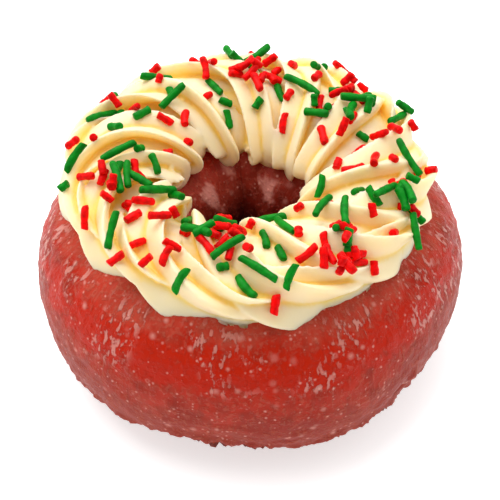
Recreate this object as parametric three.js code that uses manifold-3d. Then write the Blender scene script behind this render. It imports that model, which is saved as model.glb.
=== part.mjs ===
// A glazed ring doughnut topped with a piped ring of icing and scattered sprinkles.
// Millimetres, +Z up. The origin is on the table under the middle of the doughnut.

import * as THREE from 'three';
import { mergeVertices } from 'three/addons/utils/BufferGeometryUtils.js';
import Module from 'manifold-3d';

const wasm = await Module();
wasm.setup();

const degree = Math.PI / 180;
const fullTurn = 2 * Math.PI;

// Dough ring
const doughOuterRadius = 47.5;
const doughMidRadius = 27.5;
const doughHeight = 42;
const doughSquareness = 2.15;
const doughFlatDepth = 1;
const doughRoundSteps = 54;
const doughSectionSteps = 18;
const swellHeight = 0.4;
const holeLobes = 5;
const holeLobeDepth = 4.5;
const holeCreaseAngle = 99 * degree;
const baseEdgeHeight = 5;
const baseEdgeRoughness = 0.7;

// Piped icing: one long ridged strand laid as a leaning coil
const icingGap = 0.3;
const bedOverlap = 1.5;
const icingShift = new THREE.Vector3(-0.3, 2, 0);
const loopCount = 11;
const loopPitch = fullTurn / loopCount;
const coilMidRadius = 26.8;
const coilReach = 10.8;
const coilLean = 24 * degree;
const coilDelay = 22 * degree;
const coilSwing = 72 * degree;
const lowPassLift = 0.5;
const topPassLift = 5.5;
const backLift = 1.2;
const frontPull = 1.8;
const holeSqueeze = 2;
const holeShift = 2;
const holeTurn = 40 * degree;
const outerDrop = 1;
const strandHalfWidth = 7.4;
const strandHalfThickness = 4.9;
const strandTilt = 22 * degree;
const strandTwist = 30 * degree;
const outerRoll = 25 * degree;
const outerRollReach = 0.9;
const hiddenPassShrink = 0.55;
const hiddenPassDelay = 0.25;
const widening = { inside: 0.5, outside: 0.7 };
const thickening = { inside: 0.3, outside: -0.5 };
const unevenness = { jitter: 0.1, lean: 0.12, reach: 0.05, rise: 0.7, size: 0.07, phase: 0.5, shift: 0.6 };
const ridgeCount = 5;
const ridgeDepth = 0.66;
const ridgeCrest = 0.6;
const ridgeSharpness = 1.3;
const outerSoftening = 0.2;
const pointsPerRidge = 5;

// Turns of one loop in degrees, close together on the top pass and wide apart on the hidden one
const loopTurns = [-90, -55, -25, -5, 15, 35, 55, 75, 95, 115, 135, 155, 175, 195, 220, 245, 270];

// Skin over the coil
const coreRadius = 3;
const coreSpread = 7;
const coreLift = 1.4;
const skinReach = 20;
const skinColumns = 121;
const skinSectionSteps = 14;
const skinCrowding = 0.5;

// Sprinkles
const sprinkleCount = 130;
const fusedSprinkles = 118;
const sprinkleRadius = 0.85;
const sprinkleSides = 6;
const sprinkleSink = 0.35;
const redLength = { shortest: 2, longest: 5.5 };
const greenLength = { shortest: 2.2, longest: 9.5 };
const scatterInnerRadius = 15;
const scatterOuterRadius = 40.5;
const scatterJitter = 0.25;
const shortBias = 1.35;
const steepestSlope = 1.1;
const touchDistance = 1.2;
const stackLift = 1;

// Thicker drifts of sprinkles: where they lie, how many and what share is green
const drifts = [
  { angle: -21, radius: 34.5, spread: 5, count: 13, green: 0.7 },
  { angle: 40, radius: 26, spread: 8, count: 16, green: 0.5 },
  { angle: 83, radius: 29, spread: 7, count: 12, green: 0.3 },
  { angle: 200, radius: 28, spread: 6, count: 11, green: 0.45 },
  { angle: 257, radius: 25.5, spread: 6, count: 11, green: 0.3 },
  { angle: 305, radius: 35, spread: 7, count: 15, green: 0.4 },
];

// Small seeded generator, so that every build draws the same numbers
function makeRandom(seed) {
  let state = seed;
  return () => {
    state = (state * 48271) % 2147483647;
    return state / 2147483647;
  };
}

const halfWidth = doughOuterRadius - doughMidRadius;
const sectionHalfHeight = (doughHeight + doughFlatDepth) / 2;
const sectionMidHeight = doughHeight - sectionHalfHeight;

// Height of the smooth dough surface at a distance from the axis
function doughTop(radius) {
  const across = Math.min(Math.abs(radius - doughMidRadius) / halfWidth, 0.97);
  const rise = (1 - across ** doughSquareness) ** (1 / doughSquareness);
  return sectionMidHeight + sectionHalfHeight * rise;
}

// Closed section of the ring, between an ellipse and a rounded box
function doughProfile(grow) {
  const points = [];
  const bend = (value) => Math.sign(value) * Math.abs(value) ** (2 / doughSquareness);
  for (let i = 0; i <= doughSectionSteps; i += 1) {
    const angle = (fullTurn * i) / doughSectionSteps;
    const out = (halfWidth + grow) * bend(Math.cos(angle));
    const up = (sectionHalfHeight + grow) * bend(Math.sin(angle));
    points.push(new THREE.Vector2(doughMidRadius + out, sectionMidHeight + up));
  }
  return points;
}

// Uneven swelling outside, puckered lobes in the hole and a torn edge at the base
function doughRelief(angle, inward, height) {
  const swell = Math.sin(2 * angle + 0.7) + Math.sin(4 * angle) + Math.sin(6 * angle + 2.1);
  const lobe = Math.abs(Math.sin((holeLobes * (angle - holeCreaseAngle)) / 2));
  const nearBase = Math.exp(-(((height - baseEdgeHeight) / baseEdgeHeight) ** 2));
  const torn = nearBase * Math.sin(17 * angle) * Math.sin(7 * angle + 1);
  const outside = Math.max(0, 1 - inward * 2) * (swellHeight * swell + baseEdgeRoughness * torn);
  const inside = inward ** 2 * holeLobeDepth * (lobe - 0.5);
  return outside - inside;
}

function doughGeometry(grow) {
  const geometry = new THREE.LatheGeometry(doughProfile(grow), doughRoundSteps);
  geometry.rotateX(Math.PI / 2);
  const position = geometry.attributes.position;
  for (let i = 0; i < position.count; i += 1) {
    const radius = Math.hypot(position.getX(i), position.getY(i));
    const angle = Math.atan2(position.getY(i), position.getX(i));
    const height = Math.max(position.getZ(i), 0);
    const inward = Math.max(0, (doughMidRadius - radius) / halfWidth);
    const moved = radius + doughRelief(angle, inward, height);
    position.setXYZ(i, moved * Math.cos(angle), moved * Math.sin(angle), height);
  }
  return geometry;
}

// Uneven hand of the piping: each loop has its own values, blended along the strand
function drawLoops(random) {
  const vary = (amount) => amount * (2 * random() - 1);
  return Array.from({ length: loopCount }, () => ({
    jitter: loopPitch * vary(unevenness.jitter),
    lean: coilLean * (1 + vary(unevenness.lean)),
    reach: coilReach * (1 + vary(unevenness.reach)),
    rise: vary(unevenness.rise),
    size: 1 + vary(unevenness.size),
    phase: vary(unevenness.phase),
    shift: vary(unevenness.shift),
  }));
}

function loopValue(loops, key, turn) {
  const place = (((turn / fullTurn) % loopCount) + loopCount) % loopCount;
  const index = Math.floor(place);
  const blend = THREE.MathUtils.smoothstep(place - index, 0, 1);
  const next = loops[(index + 1) % loopCount];
  return loops[index % loopCount][key] * (1 - blend) + next[key] * blend;
}

// How far round the ring a strand has got, beyond the steady pitch
function sweep(turn, lean) {
  const swing = coilDelay + ((coilSwing - coilDelay) * (1 - Math.cos(turn))) / 2;
  return (loopPitch * turn) / fullTurn - lean * Math.cos(turn - swing);
}

// Middle of the strand: it climbs over the top from the hole to the outer edge, swings
// along the edge and comes back underneath, a little further round. The ring stands higher
// at the back, is drawn in at both sides of the front, and its hole is squeezed at the back
// and off centre
function coilPoint(turn, loops) {
  const angle = sweep(turn, loopValue(loops, 'lean', turn)) + loopValue(loops, 'jitter', turn);
  const outside = Math.max(0, -Math.cos(turn));
  const inside = Math.max(0, Math.cos(turn));
  let reach = loopValue(loops, 'reach', turn) * Math.cos(turn);
  reach += frontPull * outside * Math.max(0, -Math.sin(angle)) * Math.abs(2 * Math.cos(angle));
  const offCentre = holeShift * Math.cos(angle - holeTurn);
  reach += inside * (holeSqueeze * Math.max(0, Math.sin(angle)) ** 2 + offCentre);
  const radius = coilMidRadius + loopValue(loops, 'shift', turn) - reach;
  const over = (1 + Math.sin(turn)) / 2;
  const highest = topPassLift + loopValue(loops, 'rise', turn) + backLift * Math.sin(angle);
  const climb = (highest - lowPassLift) * over;
  const drop = outerDrop * outside ** 2;
  const height = doughTop(radius) + lowPassLift + climb - drop;
  return new THREE.Vector3(radius * Math.cos(angle), radius * Math.sin(angle), height);
}

// Ridged outline of the nozzle: a ridge rises slowly to its crest and drops back sharply
function starRadius(angle, depth) {
  const sector = ((((angle / fullTurn) * ridgeCount) % 1) + 1) % 1;
  const rise = Math.min(sector / ridgeCrest, (1 - sector) / (1 - ridgeCrest));
  return 1 - depth + depth * rise ** ridgeSharpness;
}

function pipedLoop(loops, number) {
  const sides = ridgeCount * pointsPerRidge;
  const steps = loopTurns.length - 1;
  const geometry = new THREE.CylinderGeometry(1, 1, 1, sides, steps);
  const position = geometry.attributes.position;
  const nudge = 0.01;
  for (let i = 0; i < position.count; i += 1) {
    const across = Math.hypot(position.getX(i), position.getZ(i));
    const around = Math.atan2(position.getX(i), position.getZ(i));
    const local = loopTurns[Math.round((position.getY(i) + 0.5) * steps)] * degree;
    const turn = fullTurn * number + local;
    const centre = coilPoint(turn, loops);
    const tangent = coilPoint(turn + nudge, loops).sub(coilPoint(turn - nudge, loops)).normalize();

    const roll = Math.PI - local + outerRoll * Math.exp(-(((local - Math.PI) / outerRollReach) ** 2));
    const outward = new THREE.Vector3(centre.x, centre.y, 0).setLength(Math.cos(roll));
    outward.z = Math.sin(roll);
    outward.addScaledVector(tangent, -outward.dot(tangent)).normalize();
    const side = new THREE.Vector3().crossVectors(outward, tangent);

    const place = Math.hypot(centre.x, centre.y) / coilMidRadius;
    const flank = place < 1 ? 'inside' : 'outside';
    const hidden = Math.max(0, -Math.sin(local - hiddenPassDelay)) ** 1.5;
    const size = loopValue(loops, 'size', turn) * (1 - hiddenPassShrink * hidden);
    const depth = ridgeDepth * (1 - outerSoftening * Math.max(0, -Math.cos(local)));
    const ridged = across * size * starRadius(around, depth);
    const turned = around - strandTwist * Math.sin(turn) - loopValue(loops, 'phase', turn);
    const wide = strandHalfWidth * place ** widening[flank] * ridged * Math.cos(turned);
    const thick = strandHalfThickness * place ** thickening[flank] * ridged * Math.sin(turned);
    centre.addScaledVector(side, wide * Math.cos(strandTilt) - thick * Math.sin(strandTilt));
    centre.addScaledVector(outward, wide * Math.sin(strandTilt) + thick * Math.cos(strandTilt));
    centre.add(icingShift);
    position.setXYZ(i, centre.x, centre.y, centre.z);
  }
  return geometry;
}

// Geometry to solid and back, for joining and cutting
function toSolid(geometry) {
  const bare = geometry.clone();
  bare.deleteAttribute('normal');
  bare.deleteAttribute('uv');
  const merged = mergeVertices(bare, 1e-4);
  const mesh = new wasm.Mesh({
    numProp: 3,
    vertProperties: new Float32Array(merged.attributes.position.array),
    triVerts: new Uint32Array(merged.index.array),
  });
  return new wasm.Manifold(mesh);
}

function toGeometry(solid) {
  const mesh = solid.getMesh();
  const geometry = new THREE.BufferGeometry();
  geometry.setAttribute('position', new THREE.BufferAttribute(mesh.vertProperties, 3));
  geometry.setIndex(new THREE.BufferAttribute(mesh.triVerts, 1));
  geometry.computeVertexNormals();
  return geometry;
}

// How far a ray runs to the outermost or the first surface it meets
function surfaceDistance(origin, direction, meshes, pick) {
  const hits = new THREE.Raycaster(origin, direction, 0, skinReach).intersectObjects(meshes, false);
  if (hits.length === 0) return null;
  return pick === 'last' ? hits[hits.length - 1].distance : hits[0].distance;
}

function looseMesh(geometry) {
  return new THREE.Mesh(geometry, new THREE.MeshBasicMaterial({ side: THREE.DoubleSide }));
}

// One closed skin over all the loops: a ring whose points are pushed out to the strands,
// with its columns leaning the way the strands lie, and down into the bed of dough
function pipedRing(loops) {
  const strands = Array.from({ length: loopCount }, (_, i) => looseMesh(pipedLoop(loops, i)));
  const bed = [looseMesh(doughGeometry(icingGap))];
  const skin = new THREE.TorusGeometry(coilMidRadius, coreRadius, skinSectionSteps, skinColumns);
  const position = skin.attributes.position;
  const rays = [];
  for (let i = 0; i < position.count; i += 1) {
    const column = Math.atan2(position.getY(i), position.getX(i));
    const out = Math.hypot(position.getX(i), position.getY(i)) - coilMidRadius;
    const even = Math.atan2(position.getZ(i), out);
    const section = even + skinCrowding * Math.cos(even);
    const angle = column + sweep(Math.PI - section, coilLean);
    const radius = coilMidRadius + coreSpread * Math.cos(section);
    const centre = new THREE.Vector3(radius * Math.cos(angle), radius * Math.sin(angle), 0);
    const direction = new THREE.Vector3(Math.cos(angle), Math.sin(angle), 0);
    direction.multiplyScalar(Math.cos(section));
    direction.z = Math.sin(section);
    centre.add(icingShift);
    centre.z = doughTop(radius) + coreLift;
    const toStrand = surfaceDistance(centre, direction, strands, 'last') ?? 0;
    const toBed = surfaceDistance(centre, direction, bed, 'first') ?? Infinity;
    rays.push({ centre, direction, reach: Math.max(toStrand, coreRadius), limit: toBed + bedOverlap });
  }

  // A low point is evened with its neighbours along the strand, the last row being the first again
  const row = skinColumns + 1;
  const lastRow = skinSectionSteps * row;
  rays.forEach(({ centre, direction, reach, limit }, i) => {
    const before = rays[(i + lastRow - row) % lastRow].reach;
    const after = rays[(i + row) % lastRow].reach;
    const filled = Math.max(reach, (before + 2 * reach + after) / 4);
    const point = centre.clone().addScaledVector(direction, Math.min(filled, limit));
    position.setXYZ(i, point.x, point.y, point.z);
  });
  return toSolid(skin);
}

// Height of the icing under a point, or null beside it
function icingHeight(x, y, surface) {
  const above = new THREE.Vector3(x, y, 2 * doughHeight);
  const hits = new THREE.Raycaster(above, new THREE.Vector3(0, 0, -1)).intersectObject(surface, false);
  return hits.length > 0 ? hits[0].point.z : null;
}

// Even scatter by a golden angle spiral, then the drifts, each with its own jitter
function scatterPlaces(random) {
  const goldenAngle = Math.PI * (3 - Math.sqrt(5));
  const inner = scatterInnerRadius ** 2;
  const outer = scatterOuterRadius ** 2;
  const places = [];
  for (let i = 0; i < sprinkleCount; i += 1) {
    const radius = Math.sqrt(inner + ((outer - inner) * (i + random())) / sprinkleCount);
    const angle = goldenAngle * i + scatterJitter * random();
    places.push({ x: radius * Math.cos(angle), y: radius * Math.sin(angle), green: random() < 0.5 });
  }
  drifts.forEach((drift) => {
    for (let i = 0; i < drift.count; i += 1) {
      const radius = drift.spread * Math.sqrt(random());
      const angle = fullTurn * random();
      const x = drift.radius * Math.cos(drift.angle * degree) + radius * Math.cos(angle);
      const y = drift.radius * Math.sin(drift.angle * degree) + radius * Math.sin(angle);
      places.push({ x, y, green: random() < drift.green });
    }
  });
  return places;
}

// A sprinkle comes to rest along the icing: its ends follow the slope, its middle rides
// on the highest ridge beneath it and on the sprinkles that already lie there
function layDown(place, random, surface, lying) {
  const range = place.green ? greenLength : redLength;
  const length = range.shortest + (range.longest - range.shortest) * random() ** shortBias;
  const heading = fullTurn * random();
  const along = new THREE.Vector3(Math.cos(heading), Math.sin(heading), 0);
  const samples = [-0.45, -0.22, 0, 0.22, 0.45].map((share) => {
    const x = place.x + icingShift.x + share * length * along.x;
    const y = place.y + icingShift.y + share * length * along.y;
    return { share, height: icingHeight(x, y, surface) };
  });
  const middle = samples[2].height;
  if (middle === null) return null;
  const first = samples[0].height ?? middle - length / 2;
  const last = samples[4].height ?? middle - length / 2;
  const slope = THREE.MathUtils.clamp((last - first) / (0.9 * length), -steepestSlope, steepestSlope);
  along.z = slope;
  along.normalize();
  const rest = samples.map((at) => (at.height ?? -Infinity) - at.share * length * slope);
  const centre = new THREE.Vector3(place.x, place.y, 0).add(icingShift);
  centre.z = Math.max(...rest) + sprinkleRadius * Math.hypot(1, slope) - sprinkleSink;
  const half = along.clone().multiplyScalar(length / 2);
  const segment = new THREE.Line3(centre.clone().sub(half), centre.clone().add(half));
  const touching = lying.filter((other) => gapBetween(segment, other.segment) < touchDistance);
  if (touching.length > 2) return null;
  if (touching.length > 0) {
    centre.z += stackLift;
    segment.start.z += stackLift;
    segment.end.z += stackLift;
  }
  return { centre, along, length, segment, green: place.green };
}

function gapBetween(one, other) {
  let gap = Infinity;
  const point = new THREE.Vector3();
  const near = new THREE.Vector3();
  for (let i = 0; i <= 4; i += 1) {
    one.at(i / 4, point);
    other.closestPointToPoint(point, true, near);
    gap = Math.min(gap, near.distanceTo(point));
  }
  return gap;
}

function scatterSprinkles(random, surface) {
  const lying = [];
  scatterPlaces(random).forEach((place) => {
    const laid = layDown(place, random, surface, lying);
    if (laid !== null) lying.push(laid);
  });
  return lying;
}

function sprinkleGeometry({ centre, along, length }) {
  const geometry = new THREE.CylinderGeometry(sprinkleRadius, sprinkleRadius, length, sprinkleSides, 1);
  const turn = new THREE.Quaternion().setFromUnitVectors(new THREE.Vector3(0, 1, 0), along);
  geometry.applyQuaternion(turn);
  geometry.translate(centre.x, centre.y, centre.z);
  return geometry;
}

function largestPiece(solid) {
  return solid.decompose().reduce((best, piece) => (piece.volume() > best.volume() ? piece : best));
}

const random = makeRandom(2412);
const loops = drawLoops(random);
const bareIcing = pipedRing(loops);
const sprinkles = scatterSprinkles(random, looseMesh(toGeometry(bareIcing)));
const longest = sprinkles.sort((one, other) => other.length - one.length).slice(0, fusedSprinkles);
const toppedIcing = longest
  .reduce((solid, laid) => solid.add(toSolid(sprinkleGeometry(laid))), bareIcing)
  .subtract(toSolid(doughGeometry(icingGap)));

const dough = new THREE.Mesh(
  toGeometry(toSolid(doughGeometry(0))),
  new THREE.MeshStandardMaterial({ color: 0xa8443a, roughness: 0.35, metalness: 0 }),
);
dough.name = 'dough';

const icing = new THREE.Mesh(
  toGeometry(largestPiece(toppedIcing)),
  new THREE.MeshStandardMaterial({ color: 0xfaefc8, roughness: 0.5, metalness: 0 }),
);
icing.name = 'icing';

const group = new THREE.Group();
group.add(dough, icing);

export default group;
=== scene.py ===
import math
from types import SimpleNamespace

import bmesh
import bpy
import numpy as np
from mathutils import Matrix, Vector, noise
from mathutils.bvhtree import BVHTree


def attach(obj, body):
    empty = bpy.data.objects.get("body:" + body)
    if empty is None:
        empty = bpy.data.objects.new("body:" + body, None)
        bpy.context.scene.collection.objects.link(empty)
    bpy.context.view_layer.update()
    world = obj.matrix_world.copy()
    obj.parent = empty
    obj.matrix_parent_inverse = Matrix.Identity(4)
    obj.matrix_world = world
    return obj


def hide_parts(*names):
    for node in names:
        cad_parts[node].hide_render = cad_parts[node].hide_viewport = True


bl_info = {
    "name": "Decorated Christmas Doughnut",
    "version": (1, 0, 0),
    "blender": (4, 5, 0),
    "location": "3D View > Sidebar > Doughnut",
    "description": "Glazed ring doughnut with piped icing and sprinkles, in its packed frame",
    "category": "Add Mesh",
}

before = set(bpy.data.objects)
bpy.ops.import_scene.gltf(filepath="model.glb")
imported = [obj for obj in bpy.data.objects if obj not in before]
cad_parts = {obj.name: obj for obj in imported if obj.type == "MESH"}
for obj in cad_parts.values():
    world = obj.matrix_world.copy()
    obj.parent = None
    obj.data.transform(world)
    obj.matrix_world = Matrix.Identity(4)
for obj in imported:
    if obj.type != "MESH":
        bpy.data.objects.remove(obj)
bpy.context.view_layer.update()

mm = 0.001
degree = math.pi / 180
full_turn = 2 * math.pi
body = "root"

# Relief of the dough ring
flat_depth = 1 * mm
squareness = 2.15
top_reach = 0.97
swell_height = 0.4 * mm
swell_waves = ((2, 0.7), (4, 0), (6, 2.1))
hole_lobes = 5
hole_lobe_depth = 4.5 * mm
hole_crease_angle = 99 * degree

# Fine relief of the dough: how high each kind stands and how wide its noise is
lump_height, lump_size = 0.35 * mm, 15 * mm
pucker_height, pucker_size = 0.22 * mm, 4.2 * mm
grain_height, grain_size = 0.17 * mm, 1.6 * mm
hole_height, hole_size, hole_crowding, hole_origin = 2.2 * mm, 18 * mm, 1.7, (5, 2)
streak_height = 0.2 * mm
streaks_round, streaks_across, streak_sway = 7, 11, 1.2
outside_fade, inside_fade, hole_fade = (0.1, 0.5), (0.3, 0.6), (0.45, 1)

# Roughness, spacing and layers of the layered noises
streak_noise = (0.8, 2.1, 3)
torn_noise = (0.7, 2.2, 3)
grain_noise = (0.9, 2.0, 2)
sheet_noise = (0.6, 2.0, 4)

# Rough fried base: the height where the skin ends, with its swings, and the torn relief below
edge_height = 8.5 * mm
edge_swings = ((2.2 * mm, 2.2), (1.1 * mm, 9))
edge_fade = (-0.5 * mm, 0.4 * mm)
torn_size = 2.6 * mm
torn_height = 1.5 * mm
torn_depth = 0.6 * mm
lip_height = 0.7 * mm
lip_lift = 0.8 * mm
lip_reach = 1 * mm
lip_share = 0.6

# Dents in the outside of the dough: angle, height, half width, half height and depth
dents = (
    (-45 * degree, 13 * mm, 3 * degree, 1.6 * mm, 1.6 * mm),
    (-41 * degree, 15.5 * mm, 2 * degree, 1.2 * mm, -0.9 * mm),
    (-112 * degree, 4 * mm, 4 * degree, 2.5 * mm, 0.9 * mm),
    (197 * degree, 17 * mm, 3 * degree, 2 * mm, 0.8 * mm),
)

# Painted highlights, reflections of the overhead light, on the back walls of the hole: angle,
# height, half width, half height and strength
hole_highlights = (
    (147 * degree, 34.5 * mm, 13 * degree, 2.6 * mm, 1),
    (110 * degree, 38 * mm, 9 * degree, 2 * mm, 1),
    (66 * degree, 34 * mm, 16 * degree, 3 * mm, 0.8),
)

# Hand of the piping
coil_delay = 22 * degree
coil_swing = 72 * degree
low_pass_lift = 0.5 * mm
top_pass_lift = 5.5 * mm
back_lift = 1.2 * mm
front_pull = 1.8 * mm
hole_squeeze = 2 * mm
hole_shift = 2 * mm
hole_turn = 40 * degree
outer_drop = 1 * mm
strand_tilt = 22 * degree
strand_twist = 30 * degree
outer_roll = 25 * degree
outer_roll_reach = 0.9
hidden_pass_shrink = 0.55
hidden_pass_delay = 0.25
hidden_pass_sharpness = 1.5
widening = {"inside": 0.5, "outside": 0.7}
thickening = {"inside": 0.3, "outside": -0.5}
ridge_count = 5
ridge_depth = 0.66
ridge_crest = 0.6
ridge_sharpness = 1.3
outer_softening = 0.2

# Mesh of the piping
ridge_steps = 12
loop_steps = 84
core_radius, core_sides, core_steps = 6 * mm, 24, 96
smoothing, smoothing_passes = 0.5, 2
bed_depth, bed_reach = 0.5 * mm, 0.9
most_triangles = 190000

# Light: a bright ceiling, dim walls, and a darker gap that fades in between two cosines
ceiling_light = 1.45
wall_light = 0.4
wall_height = 0.7
gap_start = 0.5
gap_end = 0.85
gap_floor = 0.25
gap_direction = (0, -0.72, 0.69)
overhead_power = 7.5
overhead_size = 0.9
overhead_distance = 0.9
overhead_direction = (-0.25, 0.3, 1)
floor_radius = 3
floor_drop = 0.1 * mm
floor_roughness = 0.9
floor_glow = 0.6

# Where the finishes of the dough lie: a band free of painted sheen, and fades between two heights
sheen_gap_height = 31 * mm
sheen_gap_reach = 5.5 * mm
shoulder_start = (25 * mm, 28 * mm)
shoulder_end = (37 * mm, 40 * mm)
rim_start = (35 * mm, 38 * mm)
# Painted shade: the dough darkens towards the bottom, up to a greater height at the flanks
low_shade_start, low_shade_end, flank_shade_end = 12 * mm, 30 * mm, 48 * mm
# Painted shade deep in the hole fades out between these heights
hole_shade_end = (24 * mm, 39 * mm)
sheet_size, sheet_shift = 9 * mm, Vector((3, 7, 1))
patch_size, patch_shift = 11 * mm, Vector((9, 2, 5))
# Painted sheen: extra pale pink just under the icing's rim
rim_sheen = 1.2
flank_least = 0.15
# The band free of painted sheen and darkening, and how much painted sheen and dried glaze shows
sheen_gap_mean, sheen_gap_swing, sheen_gap_torn, sheen_gap_patchy = 0.64, 0.36, 0.35, 0.3
film_and_sheen_mean, film_and_sheen_sheets, film_and_sheen_streaks = 0.5, 0.9, 0.35
# Swings of the painted low shade's edge and of the rim, and the tearing of the painted hole
# highlights
low_shade_swing, edge_swing, hole_highlight_torn = 6 * mm, 2 * mm, 0.45
# Fades of the shoulder patches, the painted shade on the hole's walls, the band free of painted
# sheen and the painted hole highlights
patch_fade, hole_wall_shade_fade, sheen_gap_fade, hole_highlight_fade = (-0.12, 0.25), (0.25, 0.8), (0.4, 0.75), (0.35, 0.75)

# Patterns of noise: scale, and the two levels between which it rises
fine_pattern = (1100, 0.48, 0.66)
broad_pattern = (70, 0.3, 0.7)
blotch_pattern = (260, 0.45, 0.66)
icing_clouds = (120, 0.3, 0.7)
icing_grain = (1500, 0.3, 0.7)
sprinkle_clouds = (700, 0.35, 0.7)

# The same along the way the glaze ran, with its crowding round the ring and across it
run_pattern, run_crowding = (1, 0.5, 0.64), (24, 24, 2.4)
hair_pattern, hair_crowding = (1, 0.54, 0.66), (95, 95, 6)
trickle_pattern, trickle_crowding = (1, 0.54, 0.6), (36, 36, 9)

# Patterns of specks: scale of their cells, share that holds one and largest radius
dot_pattern = (400, 0.26, 0.5)
small_dot_pattern = (1000, 0.3, 0.55)
bubble_pattern = (230, 0.16, 0.42)
bubble_middle = (230, 0.16, 0.3)
frost_pattern = (2200, 0.4, 0.5)

# Finish of the dough, with its painted sheen, shade and highlights
film_and_sheen_share = 0.14
fine_share = 0.3
hair_share = 0.35
blotch_share = 0.35
run_share = 0.3
broad_share = 0.35
sheen_gap_share = 0.9
dough_roughness = 0.35
film_roughness = 0.5
dough_gloss = 0.1
dough_coat = 0.3
coat_roughness = 0.12
dough_softness, dough_depth = 0.1, 1.2 * mm
dough_scatter = (1.0, 0.2, 0.1)
dot_share = 0.9
large_dot_share = 0.7
ring_opening = 1.1
hole_highlight_share = 0.5
trickle_share = 0.6
hair_relief = 0.8
trickle_relief = 2
dough_bump = 0.12 * mm
crust_colors = ((0.17, 0.025, 0.015), (0.40, 0.06, 0.025))

# Finish of the icing, with its painted crease shade
crease_shade_share = 1.1
cloud_share = 0.15
icing_depth = 4 * mm
icing_softness = 0.7
icing_scatter = (1.0, 0.88, 0.65)
icing_roughness, icing_dullness = 0.42, 0.08
icing_bump = 0.02 * mm
hollow_passes = 80
hollow_depth = 0.6 * mm

# Sprinkles
sprinkle_radius = 0.85 * mm
sprinkle_sink = 0.35 * mm
red_length = (2 * mm, 5.5 * mm)
green_length = (2.2 * mm, 9.5 * mm)
scatter_radii = (15 * mm, 40.5 * mm)
scatter_jitter = 0.25
short_bias = 1.35
steepest_slope = 1.1
touch_distance = 1.2 * mm
stack_lift = 1 * mm
most_touching = 2
drop_height = 0.2
sprinkle_bend = 0.16
shortest_bent = 4 * mm
sprinkle_cut = 0.5
rod_sides, rod_cuts, rod_rim = 12, 7, 0.04
gap_steps = 4
sprinkle_samples = (-0.45, -0.22, 0, 0.22, 0.45)
sampled_span = 0.9
thinnest, thickness_range = 0.92, 0.16
thickness_waves = ((0.07, 1, 9), (0.05, 3, 21))
end_start, end_length, end_rounding = 0.42, 0.08, 0.22
sprinkle_roughness, sprinkle_dullness = 0.36, 0.15
sprinkle_gloss = 0.1
sprinkle_shade = 0.62
frost_share = 0.12
sprinkle_bump = 0.05 * mm
pale_red = (0.9, 0.08, 0.06)
pale_green = (0.09, 0.42, 0.16)
scatter_seed = 2412
shape_seed = 977

# Thicker drifts of sprinkles: angle, radius, spread, how many and what share is green
drifts = (
    (-21 * degree, 34.5 * mm, 5 * mm, 13, 0.7),
    (40 * degree, 26 * mm, 8 * mm, 16, 0.5),
    (83 * degree, 29 * mm, 7 * mm, 12, 0.3),
    (200 * degree, 28 * mm, 6 * mm, 11, 0.45),
    (257 * degree, 25.5 * mm, 6 * mm, 11, 0.3),
    (305 * degree, 35 * mm, 7 * mm, 15, 0.4),
)


def length_setting(name, description, default, low, high):
    return bpy.props.FloatProperty(name=name, description=description, default=default,
                                   min=low, max=high, unit="LENGTH")


def angle_setting(name, description, default, high):
    return bpy.props.FloatProperty(name=name, description=description, default=default,
                                   min=0, max=high, unit="ROTATION")


def color_setting(name, description, default):
    return bpy.props.FloatVectorProperty(name=name, description=description, default=default,
                                         min=0, max=1, subtype="COLOR")


def count_setting(name, description, default, low, high):
    return bpy.props.IntProperty(name=name, description=description, default=default,
                                 min=low, max=high)


class DoughSettings(bpy.types.PropertyGroup):
    """Sizes and colours of the dough ring."""

    outer_radius: length_setting(
        "Outer radius", "From the axis to the outside of the dough", 47.5 * mm, 20 * mm, 90 * mm)
    ring_radius: length_setting(
        "Ring radius", "From the axis to the middle of the dough's section",
        27.5 * mm, 10 * mm, 60 * mm)
    height: length_setting(
        "Height", "From the table to the top of the dough", 42 * mm, 10 * mm, 80 * mm)
    round_steps: count_setting("Steps round", "Faces round the ring", 480, 60, 600)
    section_steps: count_setting("Steps across", "Faces round the section", 180, 24, 240)
    crumb_color: color_setting(
        "Dough colour", "Red of the dough under its glaze", (0.50, 0.014, 0.001))
    # Painted shade: this browner red also darkens the lower dough, the flanks and the walls of the
    # hole, besides random blotches and runs
    blotch_and_shade_color: color_setting(
        "Deep colour", "Darker, browner red of the well fried places", (0.28, 0.018, 0.007))
    # Painted shade: near black maroon deep down in the hole, where little light gets in
    hole_shade_color: color_setting(
        "Dark colour", "Dark maroon deep down in the hole", (0.04, 0.003, 0.002))
    # Partly painted sheen: dried glaze, and also the painted reflection of the bright room
    film_and_sheen_color: color_setting(
        "Glaze colour", "Dusty pink of the dried sugar glaze", (0.49, 0.13, 0.08))
    # Also the painted highlights in the hole and the painted glints among the trickles
    sugar_and_highlight_color: color_setting(
        "Sugar colour", "Pale pink of thick sugar, in dots and trickles", (0.72, 0.33, 0.27))


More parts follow.
